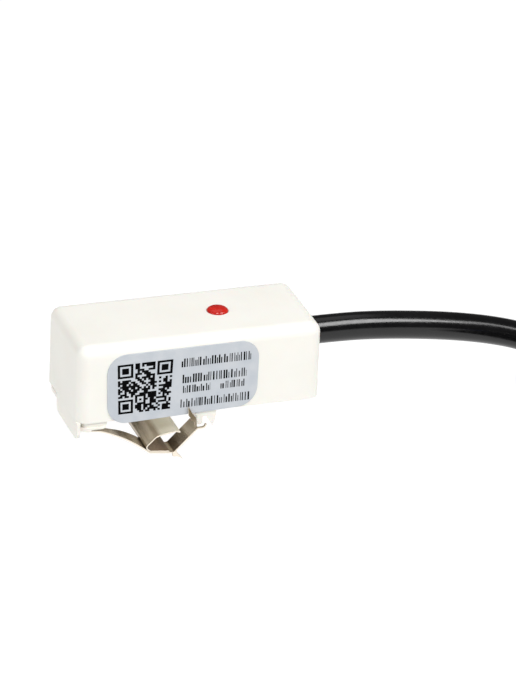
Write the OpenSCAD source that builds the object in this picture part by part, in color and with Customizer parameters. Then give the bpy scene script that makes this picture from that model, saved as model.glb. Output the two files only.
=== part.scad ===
// Non-contact level sensor for a small pipe: a moulded housing with its
// electronics, a saddle with a spring clip under its left half, and a cable.
// Millimetres, +Z up. The origin is the middle of the sensing face, the flat
// underside between the feet that the pipe is held against. +X runs along the
// housing to the end where the cable leaves, and -Y is the labelled front.

/* [Housing] */
// Length of the housing
body_len = 35; // [33:0.5:45]
// Width of the housing, front to back
body_w = 15.2; // [14.6:0.2:20]
// Height of the housing above the sensing face
body_h = 11.3; // [11:0.1:14]
// Wall thickness of the housing
wall = 1.3; // [1:0.1:1.6]
// Radius of the outer edges
edge_r = 1.6; // [1:0.1:2.2]

/* [Base and saddle] */
// Thickness of the base plate, which is also the sensing wall
base_t = 1.2; // [1:0.1:1.6]
// Distance from the left end to the start of the saddle
saddle_start = 4.2; // [3.8:0.1:6]
// Width of the saddle that the pipe lies in
saddle_w = 13; // [12:0.5:14]
// Depth of the left foot below the sensing face, where the clip lies under it
foot_h = 1.05; // [0.8:0.05:1.3]
// Length of the deeper heel that the clip's end stops against
heel_len = 2; // [1.5:0.1:2.4]
// Depth of the tab on the left end
tab_h = 2.6; // [2:0.1:3]
// Length of that tab along the end wall
tab_w = 9.7; // [6:0.1:12]
// Depth of the latch tooth
tooth_h = 2.05; // [1.6:0.05:2.3]
// Length of the latch tooth
tooth_len = 0.75; // [0.6:0.05:1]
// Length of the pointed tooth behind it
guard_len = 1.45; // [1.2:0.05:1.8]

/* [Spring clip] */
// Thickness of the spring sheet
sheet_t = 0.3; // [0.2:0.05:0.35]
// Depth of the clip below the sensing face
clip_drop = 5.65; // [5.2:0.05:6.5]
// How far the clip stands out past the front and the back
clip_proud = 0.4; // [0.3:0.05:0.8]
// Width of each left arm where it leaves the foot
left_arm_w = 1.2; // [0.9:0.1:1.6]
// Width of each left arm where it meets the belly
left_arm_root_w = 4.1; // [2.8:0.1:4.4]
// Width of each right arm
right_arm_w = 3.2; // [2.4:0.1:4.5]
// Width of the hook that runs on from each right arm
hook_w = 1; // [0.8:0.1:2]
// Height of the lug on each right arm above the sensing face
lug_h = 1.2; // [0.6:0.1:1.6]

/* [Status light] */
// Diameter of the light's lens
led_d = 3; // [2:0.1:3.6]
// How far the lens stands out of the top
led_proud = 0.6; // [0.4:0.1:1.2]
// Distance from the left end to the light
led_from_end = 22.1; // [19:0.1:24]

/* [Label] */
// Length of the label
label_len = 21.9; // [16:0.1:24]
// Height of the label
label_h = 10; // [6:0.1:10.2]
// Corner radius of the label
label_r = 2.8; // [1:0.1:3]
// Thickness of the label
label_t = 0.12; // [0.05:0.01:0.2]
// Distance from the left end to the label
label_from_end = 3.95; // [3:0.05:6]
// Tilt of the label in degrees, with its left end low
label_tilt = 0.5; // [0:0.1:1.5]

/* [Circuit] */
// Height of the board's underside above the sensing face
board_z = 3.6; // [3.2:0.1:4]
// Thickness of the board
board_t = 1; // [0.8:0.1:1.6]
// Length of the sensing electrode
electrode_len = 12; // [8:0.5:12.5]
// Width of the sensing electrode
electrode_w = 8.4; // [6:0.2:8.6]

/* [Cable] */
// Diameter of the cable
cable_d = 4; // [3.5:0.1:4.2]
// Height of the cable above the sensing face
cable_z = 6.7; // [6.4:0.1:7]
// Diameter of each core with its insulation
core_d = 1; // [0.8:0.05:1.1]
// Mean radius of the stored coil
coil_r = 20; // [20:0.5:21]

/* [Hidden] */
$fn = 48;

// Colours
white_abs = "#f6f4ee";
base_abs = "#efece4";
foil_grey = "#ccd2de";
lens_red = "#d3201f";
steel = "#a69c8e";
steel_light = "#b9b1a2";
copper = "#c47f4c";
tin = "#c9c9c6";
board_green = "#2f6b45";
epoxy_black = "#26262a";
ceramic = "#b49a78";
resin = "#3a3733";
jacket_black = "#1b1b1d";
core_colours = ["#7a4a26", "#e2c22b", "#2b57b8", "#202022"];

// Small clearances
slip = 0.05;
touch = 0.01;
over = 1;
stub = 0.3;

// The housing's limits
x0 = -saddle_start - saddle_w / 2;
x1 = x0 + body_len;
y0 = -body_w / 2;
y1 = body_w / 2;
ceiling = body_h - wall;
ledge = 0.5;
rim = wall - ledge;
label_z = label_h / 2;

// The saddle's limits
saddle_x0 = -saddle_w / 2;
saddle_x1 = saddle_w / 2;
tab_t = 0.5;
tab_from_front = 0.3;
foot_inset = 0.35;
neck_h = 0.75;
neck_in = 0.2;
tooth_r = 0.3;
latch_gap = 0.5;
latch_x1 = saddle_x1 + tooth_len;
guard_x0 = latch_x1 + latch_gap;
guard_x1 = guard_x0 + guard_len;
root_h = 0.9;
guard_h = tooth_h + 0.35;
saddle_fillet = 1.2;

// The board and what stands on it
board_x0 = x0 + wall + 0.3;
seal_len = 3.2;
seal_x0 = x1 - wall - seal_len;
board_x1 = seal_x0 - 0.2;
board_w = body_w - 2 * wall - 0.8;
board_top = board_z + board_t;
post_d = 1.8;
stake_d = 1;
post_xs = [board_x0 + 1.2, board_x1 - 1.2];
post_y = board_w / 2 - 1;
electrode_t = 0.2;
foot_lift = 0.12;
led_x = x0 + led_from_end;
led_body_h = 5.3;
led_z0 = body_h + led_proud - led_body_h;
led_pitch = 2.54;
led_wire = 0.5;
led_rim = 0.4;
pad_pitch = 2.2;
pad_from_seal = 4;
pad_x = seal_x0 - pad_from_seal;
pad_d = 1.9;
solder_h = 0.6;
solder_d = 1.6;
chip_size = [9.9, 3.9, 1.45];
chip_pitch = 1.27;
dimple_d = 0.8;
dimple_deep = 0.1;
leg_reach = 1.05;
leg_w = 0.4;
leg_t = 0.2;
regulator_size = [4.5, 2.4, 1.4];
regulator_pitch = 1.5;
transistor_size = [2.9, 1.3, 0.95];
diode_size = [2.6, 1.6, 1.1];
capacitor_size = [2, 1.25, 0.9];
resistor_size = [1.6, 0.8, 0.45];
chip_at = [-1.5, 0];
power_x = 7;
row_y = board_w / 2 - 1.5;
part_pitch = 2.4;
regulator_in = 2.8;
transistor_in = 2.5;
diode_in = 2.3;
diode_shift = 0.2;
capacitor_in = 2;
capacitor_row_x = 2.2;
capacitor_gap = 3.9;
capacitor_from_end = 1.3;
regulator_at = [power_x, regulator_in - board_w / 2];
transistor_at = [power_x, board_w / 2 - transistor_in];
diode_at = [(power_x + pad_x) / 2 + diode_shift, board_w / 2 - diode_in];
capacitors_at = [
    [capacitor_row_x, -row_y], [power_x + capacitor_gap, capacitor_in - board_w / 2],
    [board_x0 + capacitor_from_end, 0]
];
resistors_at = concat(
    [for (k = [0:3]) [(k - 2.25) * part_pitch, row_y]],
    [for (k = [0:2]) [(k - 2.25) * part_pitch, -row_y]]
);
spring_feet = [-4.4, -2.6];
spring_bows = [-1.9, -3.8];
spring_tops = [-3.1, -1.6];
spring_dip = 0.1;
spring_w = 1.6;
spring_t = 0.15;
spring_r = 0.4;

// The cable inside the housing
jacket_x0 = seal_x0 - 0.4;
core_pitch = 1.3;
conductor_d = 0.6;

// The clip: its left end lies under the foot, and its belly under the middle
clip_y0 = y0 - clip_proud;
clip_w = body_w + 2 * clip_proud;
bar_x0 = x0 + heel_len + slip;
arm_x0 = bar_x0 + 0.55;
arm_pull = 3;
belly_x0 = -0.3;
belly_len = 3.4;
belly_x1 = belly_x0 + belly_len;
belly_rise = 0.4;
belly_y = clip_drop - belly_rise;
bend_r = 0.42;
hook_reach = 0.45;
window_lead = 1.2;
window_lag = 0.1;
slot_lap = 0.4;
lug_lean = 1.4;

// The leaf's heights below the sensing face and its lengths along the clip
leaf_bend_r = 0.32;
leaf_flap = 2.8;
leaf_knee = [0.84, 3.2];
leaf_shoulder = [1.64, 2.93];
leaf_crest = [3.62, 2.62];
leaf_tip = [4.27, 2.8];

// The spur at the belly's right end, from there and below the clip's underside
spur_len = 1.4;
spur_drop = 1.2;

// The free cable lies on the surface that the clip stands on
floor_z = -6.9;
coil_z = floor_z + 0.6;
coil_x = 78;
level_turns = 3;
tail_turns = 0.58;
lead_end = tail_turns + 0.2;
tip_turns = 0.045;
tie_t = 0.5;
tie_w = 2.4;
tie_gap = 0.1;

// The cable's route from its exit to the coil
cable_route = [
    [24.3, 0, 6.7], [28, 0, 6.7], [32, 0, 6.6], [36, 0, 6.3], [40, 0, 5.85],
    [44, 0, 5.3], [48, 0, 4.6], [52, 0, 3.7], [56, 0, 2.5], [60, 0, 0.8],
    [64, 0, -1.2], [68, 0, -3], [72, 0, -4], [75, 0, -4.25], [77.6, 0, -4.3]
];

// Curves, ribbons and tubes

function unit(v) = v / norm(v);
function left_of(d) = [-d[1], d[0]];

// A quadratic curve from a to c, pulled towards b, in n steps
function curve(a, b, c, n) = [
    for (k = [0:n]) let (s = k / n)
        (1 - s) * (1 - s) * a + 2 * s * (1 - s) * b + s * s * c
];

// The corner p between a and c as an arc of radius r, or as it is if it is slight
function bend(a, p, c, r) = let (
    d0 = unit(p - a),
    d1 = unit(c - p),
    turn = acos(min(1, d0 * d1)),
    inward = sign(cross(d0, d1)) * left_of(d0),
    start = p - r * tan(turn / 2) * d0,
    n = ceil(turn / 15)
) turn < 12 ? [p] : [
    for (k = [0:n]) start + r * (sin(turn * k / n) * d0 + (1 - cos(turn * k / n)) * inward)
];

// The path p with each of its inner corners bent to the radius r
function eased(p, r) = concat(
    [p[0]],
    [for (i = [1:len(p) - 2]) each bend(p[i - 1], p[i], p[i + 1], r)],
    [p[len(p) - 1]]
);

// The point i of path p moved by t to the left of the path, mitred
function mitred(p, i, t) = let (
    last = len(p) - 1,
    d1 = unit(i < last ? p[i + 1] - p[i] : p[i] - p[i - 1]),
    d0 = unit(i > 0 ? p[i] - p[i - 1] : d1),
    n = unit(left_of(d0) + left_of(d1))
) p[i] + n * t / (n * left_of(d1));

// The outline of a strip of thickness t along path p
function ribbon(p, t) = concat(
    p, [for (i = [len(p) - 1:-1:0]) mitred(p, i, t)]
);

// A smooth line through the points p, with n steps between each two
function smooth(p, n) = let (last = len(p) - 1) concat(
    [for (i = [0:last - 1], k = [0:n - 1]) let (
        s = k / n,
        a = p[max(i - 1, 0)],
        b = p[i],
        c = p[i + 1],
        d = p[min(i + 2, last)]
    ) (2 * b + (c - a) * s + (2 * a - 5 * b + 4 * c - d) * s * s
        + (3 * b - a - 3 * c + d) * s * s * s) / 2],
    [p[last]]
);

// The ring of a tube round point i of path p, square to the path
function ring(p, i, r, sides, ref) = let (
    last = len(p) - 1,
    t = unit(p[min(i + 1, last)] - p[max(i - 1, 0)]),
    s = unit(cross(t, ref)),
    u = cross(s, t)
) [for (k = [0:sides - 1]) p[i] + r * (cos(360 * k / sides) * s + sin(360 * k / sides) * u)];

module tube(path, d, sides, ref = [0, 0, 1]) {
    rings = len(path);
    skin = [
        for (i = [0:rings - 2], k = [0:sides - 1]) let (n = (k + 1) % sides)
            [i * sides + k, i * sides + n, (i + 1) * sides + n, (i + 1) * sides + k]
    ];
    polyhedron(
        points = [for (i = [0:rings - 1]) each ring(path, i, d / 2, sides, ref)],
        faces = concat(
            skin,
            [[for (k = [sides - 1:-1:0]) k]],
            [[for (k = [0:sides - 1]) (rings - 1) * sides + k]]
        )
    );
}

// A profile in X and Z, carried along Y from y to y + w
module along_y(y, w) {
    translate([0, y + w, 0]) rotate([90, 0, 0]) linear_extrude(w) children();
}

// A box between two corners
module block(lo, hi) {
    translate(lo) cube(hi - lo);
}

// A rectangle with round corners, centred
module round_rect(w, h, r) {
    square([w - 2 * r, h], center = true);
    square([w, h - 2 * r], center = true);
    for (x = [-1, 1], y = [-1, 1]) {
        translate([x * (w / 2 - r), y * (h / 2 - r)]) circle(r);
    }
}

// A box with round upright and top edges and a square underside
module soft_box(size, r) {
    translate([r, 0, 0]) cube([size.x - 2 * r, size.y, size.z - r]);
    translate([0, r, 0]) cube([size.x, size.y - 2 * r, size.z - r]);
    translate([r, r, 0]) cube([size.x - 2 * r, size.y - 2 * r, size.z]);
    for (x = [r, size.x - r], y = [r, size.y - r]) {
        translate([x, y, 0]) cylinder(r = r, h = size.z - r);
        translate([x, y, size.z - r]) sphere(r);
    }
    for (y = [r, size.y - r]) {
        translate([r, y, size.z - r]) rotate([0, 90, 0]) cylinder(r = r, h = size.x - 2 * r);
    }
    for (x = [r, size.x - r]) {
        translate([x, r, size.z - r]) rotate([-90, 0, 0]) cylinder(r = r, h = size.y - 2 * r);
    }
}

// Housing

module housing_shell() {
    color(white_abs) difference() {
        translate([x0, y0, 0]) soft_box([body_len, body_w, body_h], edge_r);
        block([x0 + wall, y0 + wall, 0], [x1 - wall, y1 - wall, ceiling]);
        block([x0 + rim, y0 + rim, -over], [x1 - rim, y1 - rim, base_t]);
        translate([led_x, 0, ceiling - over]) cylinder(d = led_d + 2 * slip, h = wall + 2 * over);
        translate([x1 - wall - over, 0, cable_z]) {
            rotate([0, 90, 0]) cylinder(d = cable_d + 2 * slip, h = wall + 2 * over);
        }
    }
}

// The left foot in plan, with its outer upright edges rounded
module foot_plan(inset) {
    foot_l = saddle_x0 - x0 - foot_inset;
    foot_w = body_w - 2 * inset;
    r = edge_r - inset;
    translate([x0 + foot_inset + inset, 0]) {
        translate([r, -foot_w / 2]) square([foot_l - inset - r, foot_w]);
        translate([0, -foot_w / 2 + r]) square([foot_l - inset, foot_w - 2 * r]);
        for (y = [-1, 1]) {
            translate([r, y * (foot_w / 2 - r)]) circle(r);
        }
    }
}

module left_foot() {
    lip_r = 0.7;
    heel_h = foot_h + sheet_t + touch;
    intersection() {
        union() {
            translate([0, 0, -neck_h]) linear_extrude(neck_h) foot_plan(neck_in);
            translate([0, 0, -heel_h]) linear_extrude(heel_h - neck_h) foot_plan(0);
        }
        along_y(y0 - over, body_w + 2 * over) {
            translate([x0, -heel_h]) square([heel_len, heel_h]);
            translate([x0 - over, -foot_h]) square([saddle_x0 - x0 + over - lip_r, foot_h]);
            translate([x0 - over, lip_r - foot_h]) square([saddle_x0 - x0 + over, foot_h - lip_r]);
            translate([saddle_x0 - lip_r, lip_r - foot_h]) circle(lip_r);
        }
    }
}

// The tab that shields the clip's left end, with its lower corners rounded
module end_tab() {
    r = 1;
    translate([x0, y0 + tab_from_front, 0]) rotate([90, 0, 90]) linear_extrude(tab_t) {
        translate([r, -tab_h]) square([tab_w - 2 * r, tab_h]);
        translate([0, r - tab_h]) square([tab_w, tab_h - r]);
        for (x = [r, tab_w - r]) {
            translate([x, r - tab_h]) circle(r);
        }
    }
}

// The latch tooth and the pointed tooth behind it, with a fillet to the saddle
module right_teeth() {
    along_y(y0 + slip, body_w - 2 * slip) {
        difference() {
            translate([saddle_x1 - saddle_fillet, -saddle_fillet]) square(saddle_fillet);
            translate([saddle_x1 - saddle_fillet, -saddle_fillet]) circle(saddle_fillet);
        }
        translate([saddle_x1, -root_h]) square([guard_x1 - saddle_x1, root_h]);
        translate([saddle_x1, -tooth_h]) square([tooth_len - tooth_r, tooth_h]);
        translate([saddle_x1, tooth_r - tooth_h]) square([tooth_len, tooth_h - tooth_r]);
        translate([latch_x1 - tooth_r, tooth_r - tooth_h]) circle(tooth_r);
        polygon([
            [guard_x0, -root_h / 2], [guard_x0, -root_h], [guard_x1 - 0.45, -guard_h],
            [guard_x1 - 0.15, -guard_h + 0.7], [guard_x1, -root_h / 2]
        ]);
    }
}

module base_cover() {
    color(base_abs) {
        block([x0 + rim + slip, y0 + rim + slip, 0], [x1 - rim - slip, y1 - rim - slip, base_t]);
        left_foot();
        end_tab();
        right_teeth();
        for (x = post_xs, y = [-post_y, post_y]) {
            translate([x, y, 0]) cylinder(d = post_d, h = board_z);
            translate([x, y, 0]) cylinder(d = stake_d, h = board_top + 0.5);
        }
    }
}

module front_label() {
    color(foil_grey) translate([x0 + label_from_end + label_len / 2, y0, label_z]) {
        rotate([90, -label_tilt, 0]) linear_extrude(label_t) {
            round_rect(label_len, label_h, label_r);
        }
    }
}

// Status light

module status_led() {
    lens_r = led_d / 2;
    cap_r = (lens_r * lens_r + led_proud * led_proud) / (2 * led_proud);
    color(lens_red) translate([led_x, 0, led_z0]) {
        cylinder(d = led_d + 2 * led_rim, h = 1);
        intersection() {
            cylinder(d = led_d, h = led_body_h);
            translate([0, 0, led_body_h - cap_r]) sphere(cap_r);
        }
    }
}

module led_leads() {
    color(tin) for (side = [-1, 1]) {
        translate([led_x + side * led_pitch / 2, 0, (board_z - 1 + led_z0) / 2]) {
            cube([led_wire, led_wire, led_z0 - board_z + 1], center = true);
        }
    }
}

// Circuit

module circuit_board() {
    color(board_green) difference() {
        block([board_x0, -board_w / 2, board_z], [board_x1, board_w / 2, board_top]);
        for (x = post_xs, y = [-post_y, post_y]) {
            translate([x, y, board_z - over]) cylinder(d = stake_d + 2 * slip, h = board_t + 2 * over);
        }
        for (side = [-1, 1]) {
            translate([led_x + side * led_pitch / 2, 0, board_z - over]) {
                cylinder(d = led_wire * 1.6, h = board_t + 2 * over);
            }
        }
    }
}

module sensing_electrode() {
    color(copper) block(
        [-electrode_len / 2, -electrode_w / 2, base_t],
        [electrode_len / 2, electrode_w / 2, base_t + electrode_t]
    );
}

// A strip bent to an S, standing on the electrode and pressing on the board
module contact_spring() {
    z_low = base_t + electrode_t;
    z_mid = (z_low + board_z) / 2;
    z_high = board_z - spring_t;
    path = [
        [spring_feet[0], z_low], [spring_feet[1], z_low], [spring_bows[0], z_mid - spring_dip],
        [spring_bows[1], z_mid + spring_dip], [spring_tops[0], z_high], [spring_tops[1], z_high]
    ];
    color(copper) along_y(-spring_w / 2, spring_w) polygon(ribbon(eased(path, spring_r), spring_t));
}

// Gull-wing legs along both long sides of a chip
module legs(count) {
    heel = 1.5 * leg_t;
    for (i = [0:count - 1], side = [-1, 1]) {
        translate([(i - (count - 1) / 2) * chip_pitch, side * chip_size.y / 2, 0]) {
            translate([-leg_w / 2, side > 0 ? 0 : -leg_reach, 0]) cube([leg_w, leg_reach, leg_t]);
            translate([-leg_w / 2, side > 0 ? 0 : -heel, 0]) cube([leg_w, heel, 3.5 * leg_t]);
        }
    }
}

// A short flat leg, its middle so far from the body's middle
module flat_leg(at, size) {
    translate([at.x - size.x / 2, at.y - size.y / 2, 0]) cube(size);
}

module chip_body(size) {
    translate([-size.x / 2, -size.y / 2, foot_lift]) cube(size);
}

module controller_chip() {
    dimple_at = [dimple_d - 0.05 - chip_size.x / 2, dimple_d + 0.05 - chip_size.y / 2];
    color(epoxy_black) translate([chip_at.x, chip_at.y, board_top]) {
        difference() {
            chip_body(chip_size);
            translate([dimple_at.x, dimple_at.y, chip_size.z + foot_lift - dimple_deep]) {
                cylinder(d = dimple_d, h = 10 * dimple_deep);
            }
        }
        legs(8);
    }
}

module voltage_regulator() {
    size = regulator_size;
    color(epoxy_black) translate([regulator_at.x, regulator_at.y, board_top]) {
        chip_body(size);
        for (k = [-1:1]) {
            flat_leg([k * regulator_pitch, -size.y / 2 - leg_w], [leg_w, 3 * leg_w, size.z / 4]);
        }
        flat_leg([0, size.y / 2 + 0.15], [4 * leg_w, 0.7, size.z / 4]);
    }
}

module output_transistor() {
    size = transistor_size;
    reach = 0.75;
    tall = 0.3;
    color(epoxy_black) translate([transistor_at.x, transistor_at.y, board_top]) {
        chip_body(size);
        for (side = [-1, 1]) {
            flat_leg([side * (size.x / 2 - 0.5), -size.y / 2 - 0.225], [leg_w, reach, tall]);
        }
        flat_leg([0, size.y / 2 + 0.225], [leg_w, reach, tall]);
    }
}

module protection_diode() {
    size = diode_size;
    color(epoxy_black) translate([diode_at.x, diode_at.y, board_top]) {
        chip_body(size);
        for (side = [-1, 1]) {
            flat_leg([side * (size.x / 2 + 0.1), 0], [0.7, size.y / 2, leg_w]);
        }
    }
}

// A small surface part with a metal cap at each end
module chip_part(at, size) {
    cap_grow = 0.06;
    translate([at.x - size.x / 2, at.y - size.y / 2, board_top]) cube(size);
    for (side = [-1, 1]) {
        translate([at.x + side * size.x * 0.38, at.y, board_top + size.z / 2]) {
            cube([size.x * 0.24, size.y + cap_grow, size.z + cap_grow - touch], center = true);
        }
    }
}

// Chip parts of one size, cut off level with the top of the board
module chip_row(places, size) {
    intersection() {
        union() {
            for (at = places) {
                chip_part(at, size);
            }
        }
        block([x0, y0, board_top], [x1, y1, board_top + 2 * size.z]);
    }
}

module capacitors() {
    color(ceramic) chip_row(capacitors_at, capacitor_size);
}

module resistors() {
    color(epoxy_black) chip_row(resistors_at, resistor_size);
}

// Solder cones under the cores and on the light's two wires

module solder_joints() {
    color(tin) {
        for (i = [0:3]) {
            translate([pad_x, (i - 1.5) * pad_pitch, board_top]) {
                cylinder(d1 = pad_d, d2 = core_d, h = solder_h);
            }
        }
        for (side = [-1, 1]) {
            translate([led_x + side * led_pitch / 2, 0, board_z - solder_h]) difference() {
                cylinder(d1 = led_wire * 1.5, d2 = solder_d, h = solder_h);
                cube([led_wire, led_wire, 4 * solder_h], center = true);
            }
        }
    }
}

// Cable

// A core's place in the jacket: two over two
function core_at(i) = [
    (i < 2 ? -1 : 1) * core_pitch / 2,
    (i % 3 == 0 ? 1 : -1) * core_pitch / 2
];

// A core runs from the jacket's end to its solder joint
module core(i) {
    at = core_at(i);
    pad_y = (i - 1.5) * pad_pitch;
    top = board_top + solder_h;
    high = cable_z + at.y;
    bend = [pad_x, pad_y, high];
    fan = [jacket_x0 - 1, at.x, high];
    path = concat(
        [[jacket_x0, at.x, high]], curve(fan, bend, [pad_x, pad_y, top + stub], 8), [[pad_x, pad_y, top]]
    );
    color(core_colours[i]) tube(path, core_d, 8, [0, 1, 0]);
}

module core_brown() core(0);
module core_yellow() core(1);
module core_blue() core(2);
module core_black() core(3);

// The resin plug that grips and seals the cable inside the end wall
module cable_seal() {
    color(resin) difference() {
        block(
            [seal_x0, y0 + wall + slip, base_t + touch],
            [x1 - wall - touch, y1 - wall - slip, ceiling - touch]
        );
        translate([seal_x0 - over, 0, cable_z]) {
            rotate([0, 90, 0]) cylinder(d = cable_d, h = seal_len + 2 * over);
        }
    }
}

module cable_jacket() {
    color(jacket_black) tube(
        concat([[jacket_x0, 0, cable_z]], smooth(cable_route, 2), [[coil_x, 0, coil_z + cable_d / 2]]),
        cable_d, 12
    );
}

// The coil's turns lie in levels: each is half a diameter further in than the
// one below it, so that it rests in the step that the lower one makes
function level_at(k) = [
    coil_r + cable_d * (1 - k) / 2,
    coil_z + cable_d / 2 + cable_d * sin(60) * k
];
coil_y = -level_at(0).x;

// The outline round the turns of the levels from 0 to top, as radius and height
function coil_section(top, grow) = let (r = cable_d / 2 + grow) concat(
    [for (a = [30:-30:-150]) level_at(0) + r * [cos(a), sin(a)]],
    [for (a = [210:-30:30]) level_at(top) + r * [cos(a), sin(a)]]
);

// A point of the coil, so many turns clockwise, at a radius and a height
function on_coil(turns, at) = [
    coil_x + at.x * sin(360 * turns), coil_y + at.x * cos(360 * turns), at.y
];

// A line on the coil whose ends are straight, so that its end faces are square
function on_coil_line(turns, places) = let (
    last = len(places) - 1,
    heading = [for (t = turns) [cos(360 * t), -sin(360 * t), 0]],
    start = on_coil(turns[0], places[0]),
    end = on_coil(turns[1], places[last])
) concat(
    [start, start + stub * heading[0]],
    [for (k = [1:last - 1]) on_coil(turns[0] + (turns[1] - turns[0]) * k / last, places[k])],
    [end - stub * heading[1], end]
);

module cable_coil() {
    slot = cable_d + 2 * slip;
    slot_h = slot + 0.7;
    color(jacket_black) difference() {
        translate([coil_x, coil_y, 0]) rotate_extrude($fn = 96) {
            polygon(coil_section(level_turns - 1, 0));
        }
        translate([coil_x - coil_r, -slot / 2, coil_z - over]) {
            cube([coil_r, slot + over, slot_h + over]);
        }
    }
}

// The wire tie holds the turns together on the coil's front
module coil_tie() {
    color(jacket_black) translate([coil_x + tie_w / 2, coil_y, 0]) {
        rotate([90, 0, -90]) linear_extrude(tie_w) difference() {
            polygon(coil_section(level_turns, tie_gap + tie_t));
            polygon(coil_section(level_turns, tie_gap));
        }
    }
}

// The last stretch of cable lies on the coil
module cable_tail() {
    places = [for (k = [0:20]) level_at(level_turns)];
    color(jacket_black) tube(on_coil_line([0, tail_turns], places), cable_d, 12);
}

// A lead's place beside the turn that it comes to rest on
function lead_rest(i) = level_at(level_turns - 1)
    + (cable_d + core_d + slip) / 2 * [-sin(rest_angles[i]), cos(rest_angles[i])];
rest_angles = [30, 56, -22, 4];

// A lead leaves the jacket's end, comes down to the turn below and follows it
module lead(i) {
    start = level_at(level_turns) + core_at(i);
    steps = 20;
    haste = core_at(i).y < 0 ? 3.4 : 2.2;
    places = [
        for (k = [0:steps]) let (s = min(1, haste * k / steps))
            start + (lead_rest(i) - start) * s * s * (3 - 2 * s)
    ];
    color(core_colours[i]) tube(on_coil_line([tail_turns, lead_end], places), core_d, 8);
}

module lead_brown() lead(0);
module lead_yellow() lead(1);
module lead_blue() lead(2);
module lead_black() lead(3);

// The stripped and tinned ends of the leads
module lead_tips() {
    color(tin) for (i = [0:3]) {
        places = [for (k = [0:4]) lead_rest(i)];
        tube(on_coil_line([lead_end, lead_end + tip_turns], places), conductor_d, 8);
    }
}

// Spring clip

// The lower face of the band: a bar under the left foot, a falling arm, a
// nearly flat belly, a rising arm, and the hook under the latch tooth
hook_z = -tooth_h - sheet_t;
hook_x = latch_x1 + touch + sheet_t;
bar_z = -foot_h - sheet_t;
band_path = eased(concat(
    [[bar_x0, bar_z]],
    curve([arm_x0, bar_z], [arm_x0 + arm_pull, bar_z], [belly_x0, -belly_y], 8),
    [[belly_x1, -clip_drop], [saddle_x1 - 0.1, hook_z], [hook_x, hook_z], [hook_x, hook_z + hook_reach]]
), bend_r);

// The lug stands up from the top of the arm's outer edge, over the edge of the
// housing's face: a narrow foot, a waist, and a point that leans to the left
lug_x = saddle_x1 - 0.2;
lug = [
    [lug_x + 0.1, hook_z + 0.05], [lug_x - 0.06, -tooth_h + 0.3], [lug_x - 0.2, -0.62],
    [lug_x - 0.3, -0.42 * lug_h], [lug_x - 0.62 * lug_lean + 0.12, 0.04 * lug_h],
    [lug_x - 0.8 * lug_lean + 0.1, 0.5 * lug_h], [lug_x - lug_lean, lug_h],
    [lug_x - 0.95 * lug_lean, 0.4 * lug_h], [lug_x - 0.9 * lug_lean, -0.2 * lug_h],
    [lug_x - 0.45, -1.3], [lug_x - 0.2, hook_z + 0.05]
];

// The spur points down from the fold at the belly's right end
spur = [
    [-0.14 * spur_len, 0], [0.28 * spur_len, 0.16 * spur_drop], [0.4 * spur_len, -0.15 * spur_drop],
    [0.72 * spur_len, -0.58 * spur_drop], [spur_len, -spur_drop], [0.45 * spur_len, -0.64 * spur_drop],
    [-0.07 * spur_len, -0.55 * spur_drop]
];

// The window between the left arms narrows towards the belly
module arm_window() {
    from = arm_x0 + window_lead;
    to = belly_x0 - window_lag;
    wide = clip_w / 2 - left_arm_w;
    narrow = clip_w / 2 - left_arm_root_w;
    translate([0, 0, -2 * clip_drop]) linear_extrude(2 * clip_drop) {
        polygon([[from, -wide], [to, -narrow], [to, narrow], [from, wide]]);
    }
}

module clip_band() {
    color(steel) {
        difference() {
            along_y(clip_y0, clip_w) polygon(ribbon(band_path, sheet_t));
            arm_window();
            block(
                [belly_x1 - slot_lap, clip_y0 + right_arm_w, -2 * clip_drop],
                [guard_x1, -clip_y0 - right_arm_w, 0]
            );
            block([saddle_x1 + slip, clip_y0 + hook_w, -tooth_h - 1], [guard_x1, -clip_y0 - hook_w, 0]);
        }
        for (y = [clip_y0 - sheet_t + slip, -clip_y0 - slip]) {
            along_y(y, sheet_t) polygon(lug);
        }
        along_y(clip_y0 - slip, sheet_t) translate([belly_x1, -clip_drop]) polygon(spur);
    }
}

// The leaf's flap lies on the belly and on the foot of the arm. There the leaf
// turns back and arches up under the pipe.
arm_slope = (belly_y + bar_z) / (belly_x0 - arm_x0 - arm_pull);
function belly_top(x) = -belly_y - belly_rise * (x - belly_x0) / belly_len + sheet_t * 1.01 + touch;
leaf_lay = [belly_x0 + 0.4 * sheet_t, belly_top(belly_x0 + 0.4 * sheet_t)];
fold_back = 0.63;
leaf_path = concat(
    [[belly_x0 + leaf_flap, belly_top(belly_x0 + leaf_flap)], leaf_lay],
    [leaf_lay + fold_back * [-1, arm_slope]],
    [for (p = [leaf_knee, leaf_shoulder, leaf_crest, leaf_tip]) [belly_x0 + p[0], -p[1]]]
);

module pressure_leaf() {
    color(steel_light) along_y(clip_y0, clip_w) polygon(ribbon(eased(leaf_path, leaf_bend_r), -sheet_t));
}

housing_shell();
base_cover();
front_label();
status_led();
led_leads();
circuit_board();
sensing_electrode();
contact_spring();
controller_chip();
voltage_regulator();
output_transistor();
protection_diode();
capacitors();
resistors();
solder_joints();
core_brown();
core_yellow();
core_blue();
core_black();
cable_seal();
cable_jacket();
cable_coil();
coil_tie();
cable_tail();
lead_brown();
lead_yellow();
lead_blue();
lead_black();
lead_tips();
clip_band();
pressure_leaf();
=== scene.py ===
import bpy
import numpy as np
from mathutils import Matrix, Vector


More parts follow.
